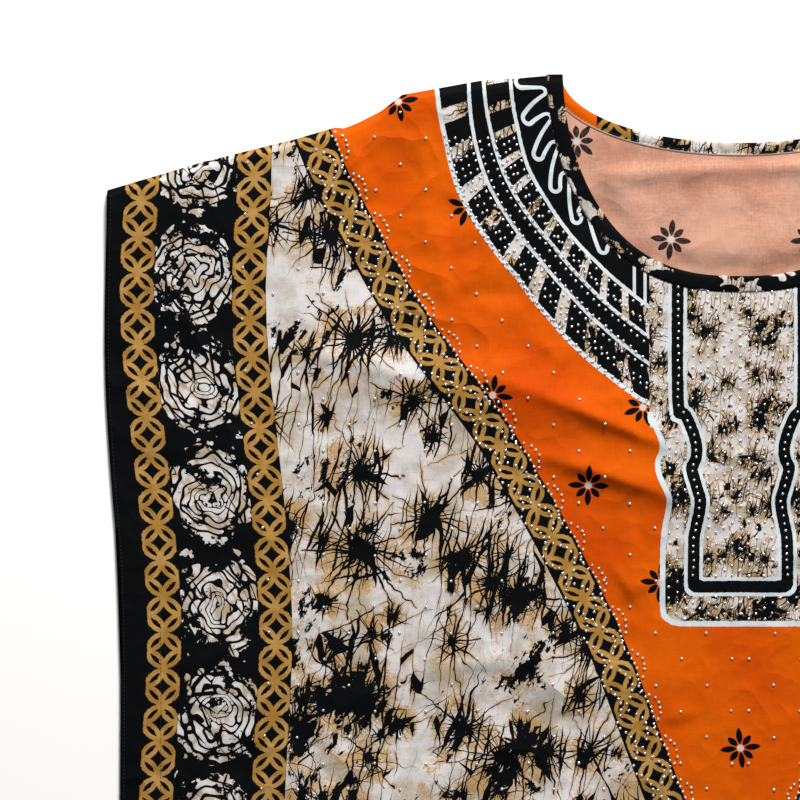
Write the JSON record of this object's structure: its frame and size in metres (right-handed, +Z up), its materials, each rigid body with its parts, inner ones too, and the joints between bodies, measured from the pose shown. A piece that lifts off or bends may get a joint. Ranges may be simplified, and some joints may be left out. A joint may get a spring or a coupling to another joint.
{
  "type": "batik-print kaftan",
  "caption": "One-size kaftan of thin printed cotton laid flat: wide front and back panels with sleeves cut in one, round bound neck, straight hem",
  "frame": {"origin": "middle of the footprint, on the surface that the garment lies on", "axes": "+Y from hem to neck, +X to the right seen from above, +Z up out of the surface"},
  "size_m": [1.0678, 1.3409, 0.0079],
  "materials": {
    "front_print": "thin printed cotton in orange, black and off-white batik with gold rings, glazed slightly by the starch",
    "back_print": "the same printed cotton; its wrong side shows peach through the neck",
    "binding_print": "bias strip of the black and beige part of the print, stitched down",
    "facing_print": "bias strip turned to the inside of the back neck, orange, gold rings and batik, topstitched",
    "thread": "matt cotton sewing thread",
    "stud": "small heat-set domed metal studs"
  },
  "bodies": {
    "root": {"front": "front_print", "back": "back_print", "neck_binding": "binding_print", "neck_facing": "facing_print"}
  },
  "joints": []
}
